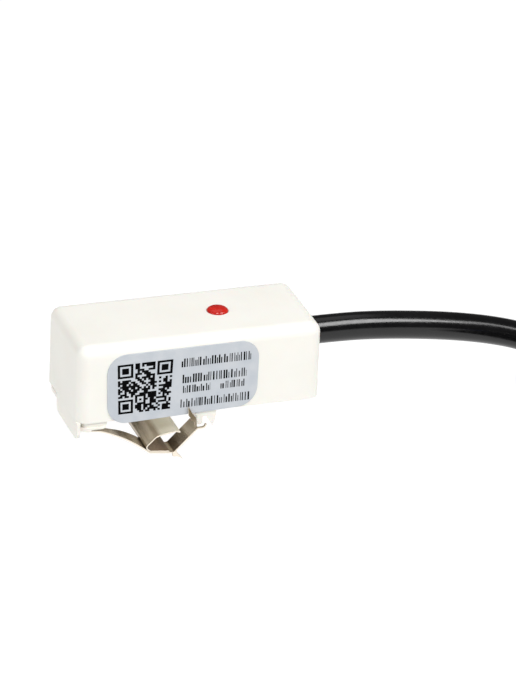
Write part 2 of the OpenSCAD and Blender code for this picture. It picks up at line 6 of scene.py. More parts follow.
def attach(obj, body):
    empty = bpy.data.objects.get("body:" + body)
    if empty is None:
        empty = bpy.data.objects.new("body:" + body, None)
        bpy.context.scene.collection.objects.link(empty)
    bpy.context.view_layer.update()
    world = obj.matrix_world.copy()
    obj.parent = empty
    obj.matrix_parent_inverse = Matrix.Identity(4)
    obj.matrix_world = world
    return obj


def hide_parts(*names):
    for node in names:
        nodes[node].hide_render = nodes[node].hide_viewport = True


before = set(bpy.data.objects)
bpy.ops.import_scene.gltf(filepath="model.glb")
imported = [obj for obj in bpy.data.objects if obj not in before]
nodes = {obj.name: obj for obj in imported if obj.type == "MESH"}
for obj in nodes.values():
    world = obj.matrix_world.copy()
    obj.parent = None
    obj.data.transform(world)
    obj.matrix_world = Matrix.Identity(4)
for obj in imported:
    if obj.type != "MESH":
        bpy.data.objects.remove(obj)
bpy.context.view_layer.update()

MM = 0.001

# Camera
# The angles, distance and aim that lay the housing's edges on the photograph's
AZIMUTH = 19.633
ELEVATION = 25.873
ROLL = -2.589
DISTANCE = 0.69103
FOCAL_PX = 5000.0
IMAGE = (516, 688)
HOUSING_MID = np.array([6.8, 0.0, 5.65]) * MM
MID_PX = (184.33, 350.634)
SENSOR_WIDTH = 36.0
NEAR, FAR = 0.01, 10.0


def make_camera():
    """Looks along forward, and the housing's middle falls on MID_PX of the image."""
    az, el, ro = np.radians([AZIMUTH, ELEVATION, ROLL])
    forward = np.array([np.sin(az) * np.cos(el), np.cos(az) * np.cos(el), -np.sin(el)])
    right = np.array([np.cos(az), -np.sin(az), 0.0])
    down = np.cross(forward, right)
    across = np.cos(ro) * right + np.sin(ro) * down
    below = np.cos(ro) * down - np.sin(ro) * right
    off = (np.array(MID_PX) - np.array(IMAGE) / 2) / FOCAL_PX
    place = HOUSING_MID - DISTANCE * (off[0] * across + off[1] * below + forward)
    data = bpy.data.cameras.new("camera")
    data.sensor_width = SENSOR_WIDTH
    data.lens = FOCAL_PX / max(IMAGE) * SENSOR_WIDTH
    data.clip_start, data.clip_end = NEAR, FAR
    camera = bpy.data.objects.new("camera", data)
    turn = np.column_stack([across, -below, -forward])
    camera.matrix_world = Matrix.Translation(Vector(place)) @ Matrix(turn.tolist()).to_4x4()
    bpy.context.scene.collection.objects.link(camera)
    bpy.context.scene.camera = camera


make_camera()

# Mesh making: lengths are in mm, angles in degrees, and HAIR is more than rounding can add
ARC_STEP = 6
STRAIGHT_BELOW = 12
BEVEL_ANGLE = 40
BEVEL_SEGMENTS = 2
SPUN_SIDES = 64
HAIR = 1e-6


def piece_from(name, points, faces, smooth=True):
    """An object at the origin, from points in mm and faces as index lists."""
    mesh = bpy.data.meshes.new(name)
    mesh.from_pydata((np.asarray(points) * MM).tolist(), [], [list(f) for f in faces])
    mesh.polygons.foreach_set("use_smooth", np.full(len(mesh.polygons), smooth))
    mesh.update()
    piece = bpy.data.objects.new(name, mesh)
    bpy.context.scene.collection.objects.link(piece)
    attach(piece, "root")
    return piece


def grid_faces(rows, cols, close_cols=True):
    """Quads over a grid of rows by cols points, numbered row by row."""
    strips = cols if close_cols else cols - 1
    r, c = np.meshgrid(np.arange(rows - 1), np.arange(strips), indexing="ij")
    c1 = (c + 1) % cols
    quads = [r * cols + c, r * cols + c1, (r + 1) * cols + c1, (r + 1) * cols + c]
    return np.stack(quads, axis=-1).reshape(-1, 4)


def ringed(name, rings, smooth=True):
    """Rings of equally many points, joined into a skin that the first and the last one close."""
    rings = np.asarray(rings)
    rows, count = rings.shape[:2]
    last = (rows - 1) * count
    caps = [list(range(count))[::-1], [last + k for k in range(count)]]
    return piece_from(name, rings.reshape(-1, 3), grid_faces(rows, count).tolist() + caps, smooth)


def tube(name, path, radius, sides):
    """Circles of the given radius, square to the path, each standing on one of its points."""
    path = np.asarray(path, float)
    along = np.gradient(path, axis=0)
    along /= np.linalg.norm(along, axis=1, keepdims=True)
    side = np.cross(along, [0.0, 0.0, 1.0])
    side /= np.linalg.norm(side, axis=1, keepdims=True)
    up = np.cross(side, along)
    turn = np.linspace(0, 2 * np.pi, sides, endpoint=False)[None, :, None]
    spokes = np.cos(turn) * side[:, None] + np.sin(turn) * up[:, None]
    return ringed(name, path[:, None] + radius * spokes)


def turned(name, profile, centre):
    """The profile of radius and height, spun round the upright line through the centre."""
    profile = np.asarray(profile, float)
    turn = np.linspace(0, 2 * np.pi, SPUN_SIDES, endpoint=False)[None, :]
    x = centre[0] + profile[:, :1] * np.cos(turn)
    y = centre[1] + profile[:, :1] * np.sin(turn)
    z = np.broadcast_to(profile[:, 1:], x.shape)
    return ringed(name, np.stack([x, y, z], axis=-1))


def smooth_line(points, steps):
    """A Catmull-Rom line through the points, with that many steps between each two."""
    p = np.asarray(points, float)
    a, b, c, d = np.vstack([p[:1], p[:-2]]), p[:-1], p[1:], np.vstack([p[2:], p[-1:]])
    s = (np.arange(steps) / steps)[None, :, None]
    a, b, c, d = (q[:, None] for q in (a, b, c, d))
    line = b + 0.5 * s * (c - a + s * (2 * a - 5 * b + 4 * c - d + s * (3 * b - a - 3 * c + d)))
    return np.vstack([line.reshape(-1, 3), p[-1:]])


def bent(corners, radius):
    """The line through the corners, each inner one an arc; slight turns stay as they are."""
    p = np.asarray(corners, float)
    line = [p[:1]]
    for a, b, c in zip(p[:-2], p[1:-1], p[2:]):
        d0 = (b - a) / np.linalg.norm(b - a)
        d1 = (c - b) / np.linalg.norm(c - b)
        turn = np.arccos(np.clip(d0 @ d1, -1, 1))
        if np.degrees(turn) < STRAIGHT_BELOW:
            line.append(b[None])
            continue
        inward = np.sign(d0[0] * d1[1] - d0[1] * d1[0]) * np.array([-d0[1], d0[0]])
        t = np.linspace(0, turn, int(np.ceil(np.degrees(turn) / ARC_STEP)) + 1)[:, None]
        start = b - radius * np.tan(turn / 2) * d0
        line.append(start + radius * (np.sin(t) * d0 + (1 - np.cos(t)) * inward))
    return np.vstack(line + [p[-1:]])


def pulled(a, b, c, steps):
    """A quadratic curve from a to c, pulled towards b."""
    a, b, c = (np.array(q, float) for q in (a, b, c))
    s = np.linspace(0, 1, steps + 1)[:, None]
    return (1 - s) ** 2 * a + 2 * s * (1 - s) * b + s ** 2 * c


def round_edges(piece, width):
    """A bevel of that width in mm on each edge that turns sharply."""
    bevel = piece.modifiers.new("edges", "BEVEL")
    bevel.width = width * MM
    bevel.segments = BEVEL_SEGMENTS
    bevel.limit_method = "ANGLE"
    bevel.angle_limit = np.radians(BEVEL_ANGLE)
    bevel.harden_normals = True
    return piece


# Cable
CABLE_D = 4.0
CABLE_SIDES = 32
CORE_D = 1.0
CORE_PITCH = 1.3
CORE_SIDES = 16
EXIT = (24.3, 0, 6.7)
JACKET_START = (19.4, 0, 6.7)
CABLE_ROUTE = [
    EXIT, (28, 0, 6.7), (32, 0, 6.6), (36, 0, 6.3), (40, 0, 5.85),
    (44, 0, 5.3), (48, 0, 4.6), (52, 0, 3.7), (56, 0, 2.5), (60, 0, 0.8),
    (64, 0, -1.2), (68, 0, -3), (72, 0, -4), (75, 0, -4.25), (77.6, 0, -4.3),
]
ROUTE_STEPS = 4

# Coil: turns are counted clockwise from the point where the route ends
FLOOR_Z = -6.9
COIL_CLEAR = 0.6
COIL_X = 78.0
COIL_R = 20.0
COIL_LOW = FLOOR_Z + COIL_CLEAR + CABLE_D / 2
LEVELS = 3
CLIMB = 0.16
STEPS_PER_TURN = 96
TAIL_END = LEVELS + 0.58

# Bare leads: the angles at which each rests on the turn below, and how soon it gets there
LEAD_END = TAIL_END + 0.2
LEAD_STEPS = 60
LEAD_GAP = 0.05
REST_ANGLES = (30, 56, -22, 4)
LOW_CORE_HASTE, HIGH_CORE_HASTE = 3.4, 2.2


def ease(s):
    """Rises from 0 to 1 with level ends: three s squared less two s cubed."""
    s = np.clip(s, 0, 1)
    return s * s * (3 - 2 * s)


def level_at(k):
    """Radius and height of the coil's level k, half a diameter in from the one below."""
    radius = COIL_R + CABLE_D * (1 - k) / 2
    return np.stack([radius, COIL_LOW + CABLE_D * np.sin(np.pi / 3) * k], axis=-1)


def on_coil(turns, places):
    """Points of the coil so many turns clockwise, at their radii and heights."""
    angle = 2 * np.pi * turns
    centre_y = -level_at(np.array(0.0))[0]
    x = COIL_X + places[:, 0] * np.sin(angle)
    y = centre_y + places[:, 0] * np.cos(angle)
    return np.column_stack([x, y, places[:, 1]])


def coil_line():
    """Level turns, and over the last sixth of each turn a climb to the next level."""
    turns = np.linspace(0, TAIL_END, int(TAIL_END * STEPS_PER_TURN))
    whole = np.floor(turns)
    return on_coil(turns, level_at(whole + ease((turns - whole - (1 - CLIMB)) / CLIMB)))


def core_at(i):
    """A core's place in the jacket, two over two."""
    return np.array([(-1 if i < 2 else 1), (1 if i % 3 == 0 else -1)]) * CORE_PITCH / 2


def lead_line(i):
    """From the jacket's end down to the turn below, and along it."""
    turns = np.linspace(TAIL_END, LEAD_END, LEAD_STEPS)
    start = level_at(np.array(float(LEVELS))) + core_at(i)
    tilt = np.radians(REST_ANGLES[i])
    reach = (CABLE_D + CORE_D + LEAD_GAP) / 2
    rest = level_at(np.array(LEVELS - 1.0)) + reach * np.array([-np.sin(tilt), np.cos(tilt)])
    haste = LOW_CORE_HASTE if core_at(i)[1] < 0 else HIGH_CORE_HASTE
    share = ease(haste * (turns - TAIL_END) / (LEAD_END - TAIL_END))[:, None]
    return on_coil(turns, start + (rest - start) * share)


cable_line = np.vstack([[JACKET_START], smooth_line(CABLE_ROUTE, ROUTE_STEPS)[:-1], coil_line()])
cable = tube("cable", cable_line, CABLE_D / 2, CABLE_SIDES)
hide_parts("cable_jacket", "cable_coil", "cable_tail")
wires = {}
for i, colour in enumerate(("brown", "yellow", "blue", "black")):
    wires[colour] = tube("wire_" + colour, lead_line(i), CORE_D / 2, CORE_SIDES)
    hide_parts("lead_" + colour)

# Label: a rectangle with round corners on the housing's front; its lower edge is cut askew
FRONT_Y = -7.6
LABEL_MID = (4.2, 5.0)
LABEL_W, LABEL_H = 21.9, 10.0
LABEL_R = 2.8
LABEL_T = 0.12
LABEL_TILT = 0.5
CORNER_STEPS = 14
LOW_EDGE_DROP = 0.21
LOW_EDGE_SLOPE = 0.0255
LOW_EDGE_NARROW = 0.021
# Each ring's inset in mm, and its rise as a share of the film's thickness
FILM_RINGS = [(0.0, 0.0), (0.0, 0.6), (0.02, 0.85), (0.06, 1.0)]

# Print: a field of cells, counted from its lower left corner, and rows of upright strokes
INK_T = 0.012
INK_SPREAD = 0.015
CELLS = 25
CELLS_FROM = (-9.2, -3.98)
CELL_W, CELL_H = 0.295, 0.3
CELL_WIDENS = 0.0009
ROW_SHIFT = -0.01
CELL_SEED = 11
DARK_SHARE = 0.58
TARGET = 7
TARGET_LIGHT_RING = 2
STROKE_SEED = 5
STROKES = (0.1, 0.15, 0.22)
STROKE_GAPS = (0.12, 0.17, 0.26)
STROKE_HEIGHTS = (1.0, 1.0, 0.7)
# Each row's lower and upper edge, and where its groups of strokes start and end
PRINT_ROWS = [
    (2.1, 3.4, [(-0.3, 9.7)]),
    (-0.35, 0.95, [(-0.1, 9.1)]),
    (-1.85, -0.75, [(0.0, 3.9), (5.4, 9.0)]),
    (-4.05, -2.8, [(-0.3, 9.8)]),
]


def on_label(u, v, out):
    """A point u along and v up from the label's middle, so far out from the housing's face."""
    tilt = np.radians(LABEL_TILT)
    u, v, out = np.broadcast_arrays(np.asarray(u, float), v, out)
    x = LABEL_MID[0] + u * np.cos(tilt) - v * np.sin(tilt)
    z = LABEL_MID[1] + u * np.sin(tilt) + v * np.cos(tilt)
    return np.stack([x, FRONT_Y - out, z], axis=-1)


def rounded_outline(w, h, r):
    """Points round a rectangle whose corners are quarter circles, anticlockwise."""
    turn = np.linspace(0, np.pi / 2, CORNER_STEPS)
    mids = np.array([[1, 1], [-1, 1], [-1, -1], [1, -1]]) * [w / 2 - r, h / 2 - r]
    turns = [turn + k * np.pi / 2 for k in range(4)]
    return np.vstack([m + r * np.column_stack([np.cos(t), np.sin(t)]) for m, t in zip(mids, turns)])


def label_film():
    """
    Rings from the edge inwards: the film's rim is square to the face and its brink is rounded.

    Towards its lower edge the film narrows and moves down, by a line of that edge's own.
    """
    rings = []
    for inset, rise in FILM_RINGS:
        line = rounded_outline(LABEL_W - 2 * inset, LABEL_H - 2 * inset, LABEL_R - inset)
        share = 0.5 - line[:, 1] / LABEL_H
        u = line[:, 0] * (1 - LOW_EDGE_NARROW * share)
        v = line[:, 1] + share * (LOW_EDGE_SLOPE * line[:, 0] - LOW_EDGE_DROP)
        rings.append(on_label(u, v, rise * LABEL_T))
    return ringed("label_film", rings, False)


def ink_boxes(name, spans):
    """Thin closed boxes on the film, from spans of low u, high u, low v and high v."""
    u0, u1, v0, v1 = np.asarray(spans, float).T
    low = [on_label(u, v, LABEL_T) for u, v in ((u0, v0), (u1, v0), (u1, v1), (u0, v1))]
    high = [p + [0, -INK_T, 0] for p in low]
    points = np.stack(low + high, axis=1)
    box = np.array([
        [3, 2, 1, 0], [4, 5, 6, 7], [0, 1, 5, 4], [1, 2, 6, 5], [2, 3, 7, 6], [3, 0, 4, 7],
    ])
    faces = (np.arange(len(points))[:, None, None] * 8 + box).reshape(-1, 4)
    return piece_from(name, points.reshape(-1, 3), faces.tolist(), False)


def cell_field():
    """Dark and light cells from a seeded draw, with a target of nested squares in three corners."""
    dark = np.random.default_rng(CELL_SEED).random((CELLS, CELLS)) < DARK_SHARE
    ring = np.max(np.abs(np.indices((TARGET, TARGET)) - TARGET // 2), axis=0)
    target = np.pad(ring != TARGET_LIGHT_RING, 1)
    size = TARGET + 1
    dark[:size, :size] = target[1:, 1:]
    dark[-size:, :size] = target[:-1, 1:]
    dark[-size:, -size:] = target[:-1, :-1]
    return dark


def cell_spans():
    """Runs of dark cells in each row of the field, as boxes; the rows widen towards the top."""
    edges = np.diff(np.pad(cell_field(), ((0, 0), (1, 1))).astype(int), axis=1)
    rows, starts = np.nonzero(edges == 1)
    ends = np.nonzero(edges == -1)[1]
    left = CELLS_FROM[0] + ROW_SHIFT * rows
    width = CELL_W + CELL_WIDENS * rows
    v0 = CELLS_FROM[1] + CELL_H * rows
    u0, u1 = left + width * starts - INK_SPREAD, left + width * ends + INK_SPREAD
    return np.column_stack([u0, u1, v0, v0 + CELL_H])


def stroke_spans():
    """Rows of upright strokes, from a seeded draw of their widths, gaps and heights."""
    draw = np.random.default_rng(STROKE_SEED)
    spans = []
    for low, high, groups in PRINT_ROWS:
        for u, end in groups:
            while u < end:
                width = min(draw.choice(STROKES), end - u)
                top = low + (high - low) * draw.choice(STROKE_HEIGHTS)
                spans.append((u, u + width, low, top))
                u += width + draw.choice(STROKE_GAPS)
    return spans


label = label_film()
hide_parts("front_label")
label_cells = ink_boxes("label_cells", cell_spans())
label_strokes = ink_boxes("label_strokes", stroke_spans())

# Status light: a flange and a barrel under a low dome
LED_AT = (11.4, 0.0)
LED_TOP = 11.9
LED_R = 1.5
LED_PROUD = 0.6
LED_FOOT = 6.6
LED_FLANGE_R = 1.9
LED_FLANGE_T = 1.0
LED_BRINK = 0.05
LED_ROOT = 0.02
DOME_TRIM = 0.02
DOME_STEPS = 32


def led_profile():
    """Flange, barrel, and a dome whose height over its radius is a quarter of an ellipse."""
    t = np.linspace(DOME_TRIM, np.pi / 2 - DOME_TRIM, DOME_STEPS)
    dome = np.column_stack([LED_R * np.cos(t), LED_TOP - LED_PROUD * (1 - np.sin(t))])
    step = LED_FOOT + LED_FLANGE_T
    foot = [
        (LED_FLANGE_R - LED_BRINK, LED_FOOT), (LED_FLANGE_R, LED_FOOT + LED_BRINK),
        (LED_FLANGE_R, step - LED_BRINK), (LED_FLANGE_R - LED_BRINK, step),
        (LED_R + LED_ROOT, step), (LED_R, step + LED_BRINK), (LED_R, LED_TOP - LED_PROUD),
    ]
    return np.vstack([foot, dome])


led_lens = turned("led_lens", led_profile(), LED_AT)
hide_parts("status_led")

# Spring clip, on the same profile as the solids
# In the photograph the cut edges look thinner than the solids' strip
STRIP_T = 0.3
SHEET_T = 0.2
EDGE = 8.0
CLIP_DROP = 5.65
BEND_R = 0.42
HOUSING_X = (-10.7, 24.3)
TOOTH_H = 2.05
SADDLE_X1 = 6.5
SHEET_BRINK = 0.06
PLATE_BRINK = 0.05

# The band's left end under the foot, and its two arms
BAR_X0, BAR_Z = HOUSING_X[0] + 2.05, -1.35
END_TAPER_X = (BAR_X0, BAR_X0 + 3.2)
END_HALF = 7.1
ARM_X0, ARM_PULL = HOUSING_X[0] + 2.6, 3.0
ARM_STEPS = 24
LEFT_ARM_W = (1.2, 4.1)

# The belly, and the right arms with their hooks
BELLY_X0, BELLY_X1 = -0.3, 3.1
BELLY_RISE = 0.4
BELLY_Y = CLIP_DROP - BELLY_RISE
RIGHT_ARM_W = 3.2
HOOK_W = 0.4
HOOK_Z = -TOOTH_H - STRIP_T
HOOK_BEND_X = SADDLE_X1 - 0.1
HOOK_X = 7.56
HOOK_REACH = 0.43
HOOK_FROM = SADDLE_X1 + 0.05
HOOK_STEP = 0.01

# The holes between the arms
WINDOW_X = (ARM_X0 + 1.2, BELLY_X0 - 0.1)
SLOT_X = (BELLY_X1 - 0.4, HOUSING_X[1])

# The leaf: its flap on the belly, its fold, and its arch from the belly's left end
LEAF_BEND_R = 0.32
LEAF_LIFT = SHEET_T * 1.01 + 0.01
LEAF_LAY = 0.4 * SHEET_T
LEAF_FLAP = 2.8
LEAF_FOLD = 0.63
LEAF_ARCH = [(0.84, -3.2), (1.64, -2.93), (3.62, -2.62), (4.27, -2.8)]

# Lugs beside the hooks and the spur under the belly, as outlines in x and z
PLATE_FAR, PLATE_NEAR = 0.25, 0.05
LUG_X = SADDLE_X1 - 0.2
LUG_H, LUG_LEAN = 1.2, 1.4
LUG = np.array([
    (LUG_X + 0.1, HOOK_Z + 0.05), (LUG_X - 0.06, -TOOTH_H + 0.3), (LUG_X - 0.2, -0.62),
    (LUG_X - 0.3, -0.42 * LUG_H), (LUG_X - 0.62 * LUG_LEAN + 0.12, 0.04 * LUG_H),
    (LUG_X - 0.8 * LUG_LEAN + 0.1, 0.5 * LUG_H), (LUG_X - LUG_LEAN, LUG_H),
    (LUG_X - 0.95 * LUG_LEAN, 0.4 * LUG_H), (LUG_X - 0.9 * LUG_LEAN, -0.2 * LUG_H),
    (LUG_X - 0.45, -1.3), (LUG_X - 0.2, HOOK_Z + 0.05),
])
SPUR_LEN, SPUR_DROP = 1.4, 1.2
SPUR = np.array([
    (-0.14, 0), (0.28, 0.16), (0.4, -0.15), (0.72, -0.58), (1, -1), (0.45, -0.64), (-0.07, -0.55)
]) * [SPUR_LEN, SPUR_DROP] + [BELLY_X1, -CLIP_DROP]


def band_line():
    """Under the left foot, down the arm, along the belly, up the right arm and round the hook."""
    pull_x = ARM_X0 + ARM_PULL
    arm = pulled((ARM_X0, BAR_Z), (pull_x, BAR_Z), (BELLY_X0, -BELLY_Y), ARM_STEPS)
    return bent(np.vstack([
        [(BAR_X0, BAR_Z)], arm, [(BELLY_X1, -CLIP_DROP), (HOOK_BEND_X, HOOK_Z)],
        [(HOOK_X, HOOK_Z), (HOOK_X, HOOK_Z + HOOK_REACH)],
    ]), BEND_R)


def with_stations(line, xs):
    """The line with a point added at each given x."""
    for x in xs:
        k = int(np.argmax(line[:, 0] > x))
        if abs(line[k - 1, 0] - x) < HAIR:
            continue
        s = (x - line[k - 1, 0]) / (line[k, 0] - line[k - 1, 0])
        line = np.insert(line, k, line[k - 1] + s * (line[k] - line[k - 1]), axis=0)
    return line


def arm_width(x):
    """The left arms widen along the window, and the right ones end in narrow hooks."""
    left = np.interp(x, WINDOW_X, LEFT_ARM_W)
    right = np.where(x < HOOK_FROM + HAIR, RIGHT_ARM_W, HOOK_W)
    return np.where(x < BELLY_X0, left, right)


def sheet(name, line, half, holes=(), side=1.0):
    """
    The line in x and z carried along y to the half width on both sides, less the holes.

    Each row has four points: the two edges, and the two inner edges of the arms, so a
    hole is a run of missing middle faces. Solidify makes the thickness.
    """
    half = np.broadcast_to(half, len(line))
    inner = half - arm_width(line[:, 0])
    ys = np.stack([-half, -inner, inner, half], axis=1)
    points = np.stack([np.repeat(line[:, 0], 4), ys.ravel(), np.repeat(line[:, 1], 4)], axis=-1)
    faces = grid_faces(len(line), 4, close_cols=False)
    mid = points[faces].mean(axis=1)
    keep = np.ones(len(faces), bool)
    for low, high in holes:
        keep &= ~((mid[:, 0] > low) & (mid[:, 0] < high) & (np.abs(mid[:, 1]) < HAIR))
    piece = piece_from(name, points, faces[keep].tolist())
    solid = piece.modifiers.new("sheet", "SOLIDIFY")
    solid.thickness = SHEET_T * MM
    solid.offset = side
    solid.use_even_offset = True
    solid.use_quality_normals = True
    return round_edges(piece, SHEET_BRINK)


def plate(name, outline, y0, y1):
    """An outline in x and z, carried from y0 to y1 as a closed plate with softened edges."""
    x, z = outline.T
    n = len(outline)
    points = [np.column_stack([x, np.full(n, y), z]) for y in (y0, y1)]
    sides = [[k, (k + 1) % n, n + (k + 1) % n, n + k] for k in range(n)]
    caps = [list(range(n))[::-1], [n + k for k in range(n)]]
    piece = piece_from(name, np.vstack(points), sides + caps, False)
    if np.sum(x * np.roll(z, -1) - z * np.roll(x, -1)) > 0:
        piece.data.flip_normals()
    return round_edges(piece, PLATE_BRINK)


def on_belly(x):
    """A point just over the belly, which falls evenly from its left end to its right one."""
    fall = BELLY_RISE * (x - BELLY_X0) / (BELLY_X1 - BELLY_X0)
    return np.array([x, -BELLY_Y - fall + LEAF_LIFT])


def leaf_line():
    """A flap on the belly and on the foot of the arm, a turn back, and the arch under the pipe."""
    slope = (BELLY_Y + BAR_Z) / (BELLY_X0 - ARM_X0 - ARM_PULL)
    lay = on_belly(BELLY_X0 + LEAF_LAY)
    fold = lay + LEAF_FOLD * np.array([-1, slope])
    arch = [(BELLY_X0 + x, z) for x, z in LEAF_ARCH]
    return bent([on_belly(BELLY_X0 + LEAF_FLAP), lay, fold, *arch], LEAF_BEND_R)


clip_line = with_stations(band_line(), [*WINDOW_X, SLOT_X[0], HOOK_FROM, HOOK_FROM + HOOK_STEP])
clip_half = np.interp(clip_line[:, 0], END_TAPER_X, (END_HALF, EDGE))
clip = sheet("clip_sheet", clip_line, clip_half, [WINDOW_X, SLOT_X])
leaf = sheet("leaf_sheet", leaf_line(), EDGE, side=-1.0)
lugs = [
    plate("lug_front", LUG, -EDGE - PLATE_FAR, -EDGE + PLATE_NEAR),
    plate("lug_back", LUG, EDGE - PLATE_NEAR, EDGE + PLATE_FAR),
]
spur = plate("spur", SPUR, -EDGE - PLATE_NEAR, -EDGE + PLATE_FAR)
for piece in (clip, *lugs, spur):
    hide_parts("clip_band")
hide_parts("pressure_leaf")


# Materials
# The parts of the noises' values over which the tint and the roughness change
PATCH_SPAN = (0.35, 0.65)
GRAIN_SPAN = (0.3, 0.7)


def linear(colour):
    """An sRGB hex colour as linear light, with alpha 1."""
    c = np.array([int(colour[k:k + 2], 16) for k in (1, 3, 5)]) / 255
    return (*np.where(c <= 0.04045, c / 12.92, ((c + 0.055) / 1.055) ** 2.4).tolist(), 1.0)


def add(material, kind, inputs=None, **settings):
    """A node of that kind with its settings; each input is linked to a socket or set to a value."""
    node = material.node_tree.nodes.new(kind)
    for key, value in settings.items():
        setattr(node, key, value)
    for key, value in (inputs or {}).items():
        if isinstance(value, bpy.types.NodeSocket):
            material.node_tree.links.new(value, node.inputs[key])
        else:
            node.inputs[key].default_value = value
    return node


def blend(material, share, low, high):
    """The colour between low and high by the share; a Mix node's colours are its inputs 6 and 7."""
    mix = add(material, "ShaderNodeMix", {0: share, 6: low, 7: high}, data_type="RGBA")
    return mix.outputs[2]


def rescale(material, value, span, to=(0.0, 1.0)):
    """The value's span, clamped and stretched to another one."""
    return add(material, "ShaderNodeMapRange", {
        "Value": value, "From Min": span[0], "From Max": span[1], "To Min": to[0], "To Max": to[1],
    }).outputs[0]


def finish_of(name, colours, rough, patch_mm, grain_mm, depth_mm, stretch=(1, 1, 1), **sockets):
    """
    A surface that drifts between two colours and two roughnesses over patches, under a fine relief.

    The patches and the grain are noise over Object coordinates, sized in mm, and stretch
    divides their frequency along x, y and z.
    """
    material = bpy.data.materials.new(name)
    material.use_nodes = True
    shader = material.node_tree.nodes["Principled BSDF"]
    where = add(material, "ShaderNodeTexCoord").outputs["Object"]
    scaled = add(material, "ShaderNodeMapping", {
        "Vector": where, "Scale": tuple(1 / s for s in stretch)}).outputs[0]
    patches = add(material, "ShaderNodeTexNoise", {
        "Vector": scaled, "Scale": 1 / (patch_mm * MM), "Detail": 3.0, "Roughness": 0.55})
    grain = add(material, "ShaderNodeTexNoise", {
        "Vector": scaled, "Scale": 1 / (grain_mm * MM), "Detail": 2.0})
    drift = rescale(material, patches.outputs[0], PATCH_SPAN)
    tint = blend(material, drift, linear(colours[0]), linear(colours[1]))
    gloss = rescale(material, grain.outputs[0], GRAIN_SPAN, rough)
    relief = add(material, "ShaderNodeBump", {
        "Height": grain.outputs[0], "Distance": depth_mm * MM, "Strength": 1.0}).outputs[0]
    for key, socket in (("Base Color", tint), ("Roughness", gloss), ("Normal", relief)):
        material.node_tree.links.new(socket, shader.inputs[key])
    for key, value in sockets.items():
        shader.inputs[key.replace("_", " ")].default_value = value
    return material


# Moulded ABS with a spark-eroded face: matt, warm white, a little light passes into it
abs_white = finish_of(
    "moulded_abs", ("#f5f3ec", "#f2f0e8"), rough=(0.5, 0.6), patch_mm=9, grain_mm=0.16,
    depth_mm=0.0022, IOR=1.54, Subsurface_Weight=0.08, Subsurface_Scale=0.0006)
# The base is moulded from the same ABS in a polished tool, so it is smoother
abs_base = finish_of(
    "moulded_abs_base", ("#f3f1e9", "#efece3"), rough=(0.3, 0.38), patch_mm=6, grain_mm=0.3,
    depth_mm=0.001, IOR=1.54, Subsurface_Weight=0.1, Subsurface_Scale=0.0006)
# Silver polyester label film: cool grey, satin, with faint cloudy patches
polyester = finish_of(
    "polyester_label_film", ("#c8ccd1", "#bec4cb"), rough=(0.36, 0.48), patch_mm=2.4,
    grain_mm=0.12, depth_mm=0.0008, IOR=1.6, Metallic=0.25)
# Thermal transfer ink: near black and duller than the film
ink = finish_of(
    "resin_ribbon_ink", ("#010102", "#040405"), rough=(0.5, 0.65), patch_mm=0.8, grain_mm=0.08,
    depth_mm=0.0006, IOR=1.12)
# Red diffused epoxy lens, cast in a polished mould: wet gloss over deep red
red_epoxy = finish_of(
    "red_diffused_epoxy", ("#d22a20", "#b7221a"), rough=(0.06, 0.1), patch_mm=1.2, grain_mm=0.5,
    depth_mm=0.0003, IOR=1.45, Subsurface_Weight=0.15, Subsurface_Scale=0.0006)
# Extruded flexible PVC jacket: glossy black with a fine orange peel
pvc_black = finish_of(
    "extruded_pvc_jacket", ("#060607", "#0d0d0e"), rough=(0.15, 0.22), patch_mm=5, grain_mm=0.6,
    depth_mm=0.0015, IOR=1.5)

# Tempered spring steel strip: brown grey under a thin oxide, with rolling lines along its width
STEEL_TINTS = ("#c3b8a6", "#93836c")
# The lugs take the same steel with darker tints: painted shade
LUG_SHADE_TINTS = ("#978a76", "#75674f")
STEEL_METAL = 0.75
spring_steel, leaf_steel, shaded_lug_steel = (
    finish_of(
        "tempered_spring_steel" + part, tints, rough=(0.16, 0.26), patch_mm=1.8, grain_mm=0.12,
        depth_mm=0.00025, stretch=(1, 10, 1), Metallic=STEEL_METAL)
    for part, tints in (("", STEEL_TINTS), ("_leaf", STEEL_TINTS), ("_lug", LUG_SHADE_TINTS))
)
# Painted reflection on the leaf's arch: its colour, and the span in mm over which it comes in
PAINTED_REFLECTION = "#f0ecde"
PAINTED_REFLECTION_SPAN = (-2.05, -1.3)
# Painted shade on the leaf's folded flap under the arch: its colour, and the span of depth in mm
# over which it comes in
PAINTED_SHADE = "#75604a"
PAINTED_SHADE_SPAN = (4.5, 4.9)
# Cut edges: bare metal, with a painted highlight where the thin edges catch the light
CUT_EDGE_HIGHLIGHT = "#f4e9d8"
CUT_EDGE_HIGHLIGHT_FACING = (0.6, 0.85)
CUT_EDGE_HIGHLIGHT_METAL = 0.35


def tint_towards(material, colour, along, span):
    """The tint turns to a colour where x, y and z, weighted and summed, cross a span in mm."""
    base = material.node_tree.nodes["Principled BSDF"].inputs["Base Color"]
    where = add(material, "ShaderNodeTexCoord").outputs["Object"]
    reach = add(material, "ShaderNodeVectorMath", {0: where, 1: along}, operation="DOT_PRODUCT")
    share = rescale(material, reach.outputs["Value"], [mm * MM for mm in span])
    tint = blend(material, share, base.links[0].from_socket, linear(colour))
    material.node_tree.links.new(tint, base)


